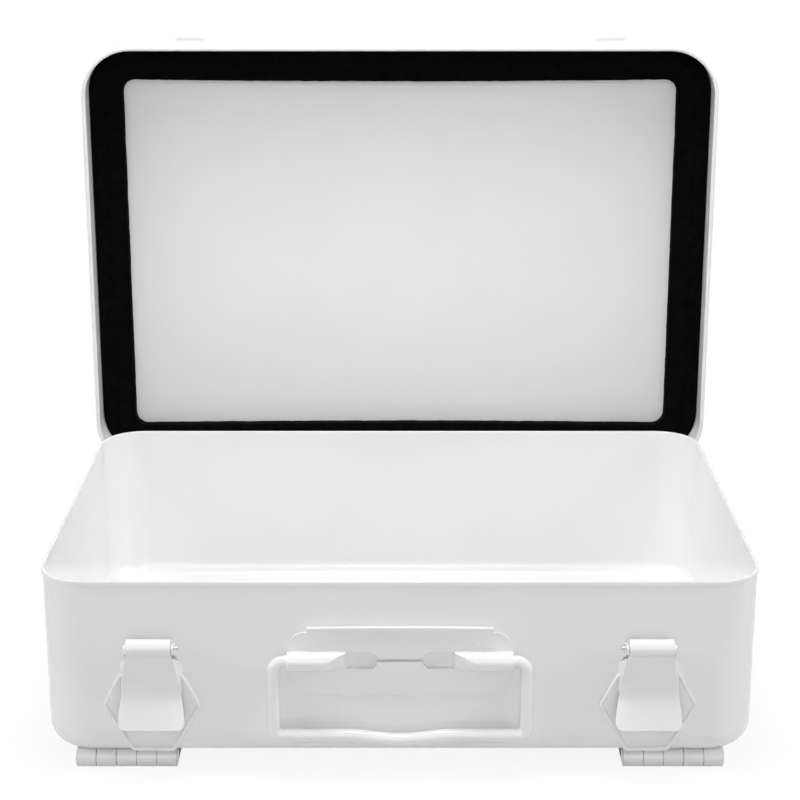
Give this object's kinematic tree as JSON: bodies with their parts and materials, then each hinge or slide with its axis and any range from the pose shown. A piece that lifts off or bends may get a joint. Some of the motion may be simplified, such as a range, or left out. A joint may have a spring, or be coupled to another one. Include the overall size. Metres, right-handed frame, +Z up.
{
  "type": "metal first aid box",
  "caption": "Rectangular white pressed-steel box shown open, with a hinged lid, foam lid seal, draw latches, bail handle and fold-out hangers.",
  "frame": {"origin": "on the standing surface, under the middle of the whole outline with the lid open", "axes": "+X to the right seen from the latches, +Y from the latches to the hinges, +Z up"},
  "size_m": [0.385, 0.3026, 0.3529],
  "materials": {
    "white_paint": "semi-gloss white stove enamel",
    "wire": "semi-gloss white enamel on round wire",
    "steel": "plain steel pin",
    "foam": "matt black closed-cell foam"
  },
  "bodies": {
    "base": {"base_tray": "white_paint", "handle_plate": "white_paint", "left_latch_plate": "white_paint", "left_latch_pin": "steel", "right_latch_plate": "white_paint", "right_latch_pin": "steel", "left_hinge_base_leaf": "white_paint", "left_hinge_pin": "steel", "right_hinge_base_leaf": "white_paint", "right_hinge_pin": "steel", "front_left_hanger_base": "white_paint", "front_left_hanger_pin": "steel", "front_right_hanger_base": "white_paint", "front_right_hanger_pin": "steel", "back_left_hanger_base": "white_paint", "back_left_hanger_pin": "steel", "back_right_hanger_base": "white_paint", "back_right_hanger_pin": "steel"},
    "lid": {"lid_shell": "white_paint", "lid_gasket": "foam", "left_keeper": "white_paint", "right_keeper": "white_paint", "left_hinge_lid_leaf": "white_paint", "right_hinge_lid_leaf": "white_paint"},
    "bail": {"carry_handle": "wire"},
    "left_lever": {"left_latch_lever": "white_paint"},
    "right_lever": {"right_latch_lever": "white_paint"},
    "left_loop": {"left_latch_loop": "wire"},
    "right_loop": {"right_latch_loop": "wire"},
    "front_left_hanger": {"front_left_hanger_leaf": "white_paint"},
    "front_right_hanger": {"front_right_hanger_leaf": "white_paint"},
    "back_left_hanger": {"back_left_hanger_leaf": "white_paint"},
    "back_right_hanger": {"back_right_hanger_leaf": "white_paint"}
  },
  "joints": [
    {"name": "lid_hinge", "type": "hinge", "parent": "base", "child": "lid", "pos_m": [0, 0.1178, 0.0824], "axis": [1, 0, 0], "range_deg": [0, 90]},
    {"name": "bail_pivot", "type": "hinge", "parent": "base", "child": "bail", "pos_m": [0, -0.1432, 0.0666], "axis": [-1, 0, 0], "range_deg": [0, 120]},
    {"name": "left_lever_pivot", "type": "hinge", "parent": "base", "child": "left_lever", "pos_m": [-0.127, -0.147, 0.0759], "axis": [1, 0, 0], "range_deg": [-150, 0]},
    {"name": "left_loop_pivot", "type": "hinge", "parent": "left_lever", "child": "left_loop", "pos_m": [-0.127, -0.1422, 0.0587], "axis": [-1, 0, 0], "range_deg": [0, 168.6]},
    {"name": "right_lever_pivot", "type": "hinge", "parent": "base", "child": "right_lever", "pos_m": [0.127, -0.147, 0.0759], "axis": [1, 0, 0], "range_deg": [-150, 0]},
    {"name": "right_loop_pivot", "type": "hinge", "parent": "right_lever", "child": "right_loop", "pos_m": [0.127, -0.1422, 0.0587], "axis": [-1, 0, 0], "range_deg": [0, 168.6]},
    {"name": "front_left_hanger_pivot", "type": "hinge", "parent": "base", "child": "front_left_hanger", "pos_m": [-0.143, -0.1272, 0.0051], "axis": [-1, 0, 0], "range_deg": [0, 180]},
    {"name": "front_right_hanger_pivot", "type": "hinge", "parent": "base", "child": "front_right_hanger", "pos_m": [0.143, -0.1272, 0.0051], "axis": [-1, 0, 0], "range_deg": [0, 180]},
    {"name": "back_left_hanger_pivot", "type": "hinge", "parent": "base", "child": "back_left_hanger", "pos_m": [-0.143, 0.1008, 0.0051], "axis": [1, 0, 0], "range_deg": [0, 180]},
    {"name": "back_right_hanger_pivot", "type": "hinge", "parent": "base", "child": "back_right_hanger", "pos_m": [0.143, 0.1008, 0.0051], "axis": [1, 0, 0], "range_deg": [0, 180]}
  ]
}
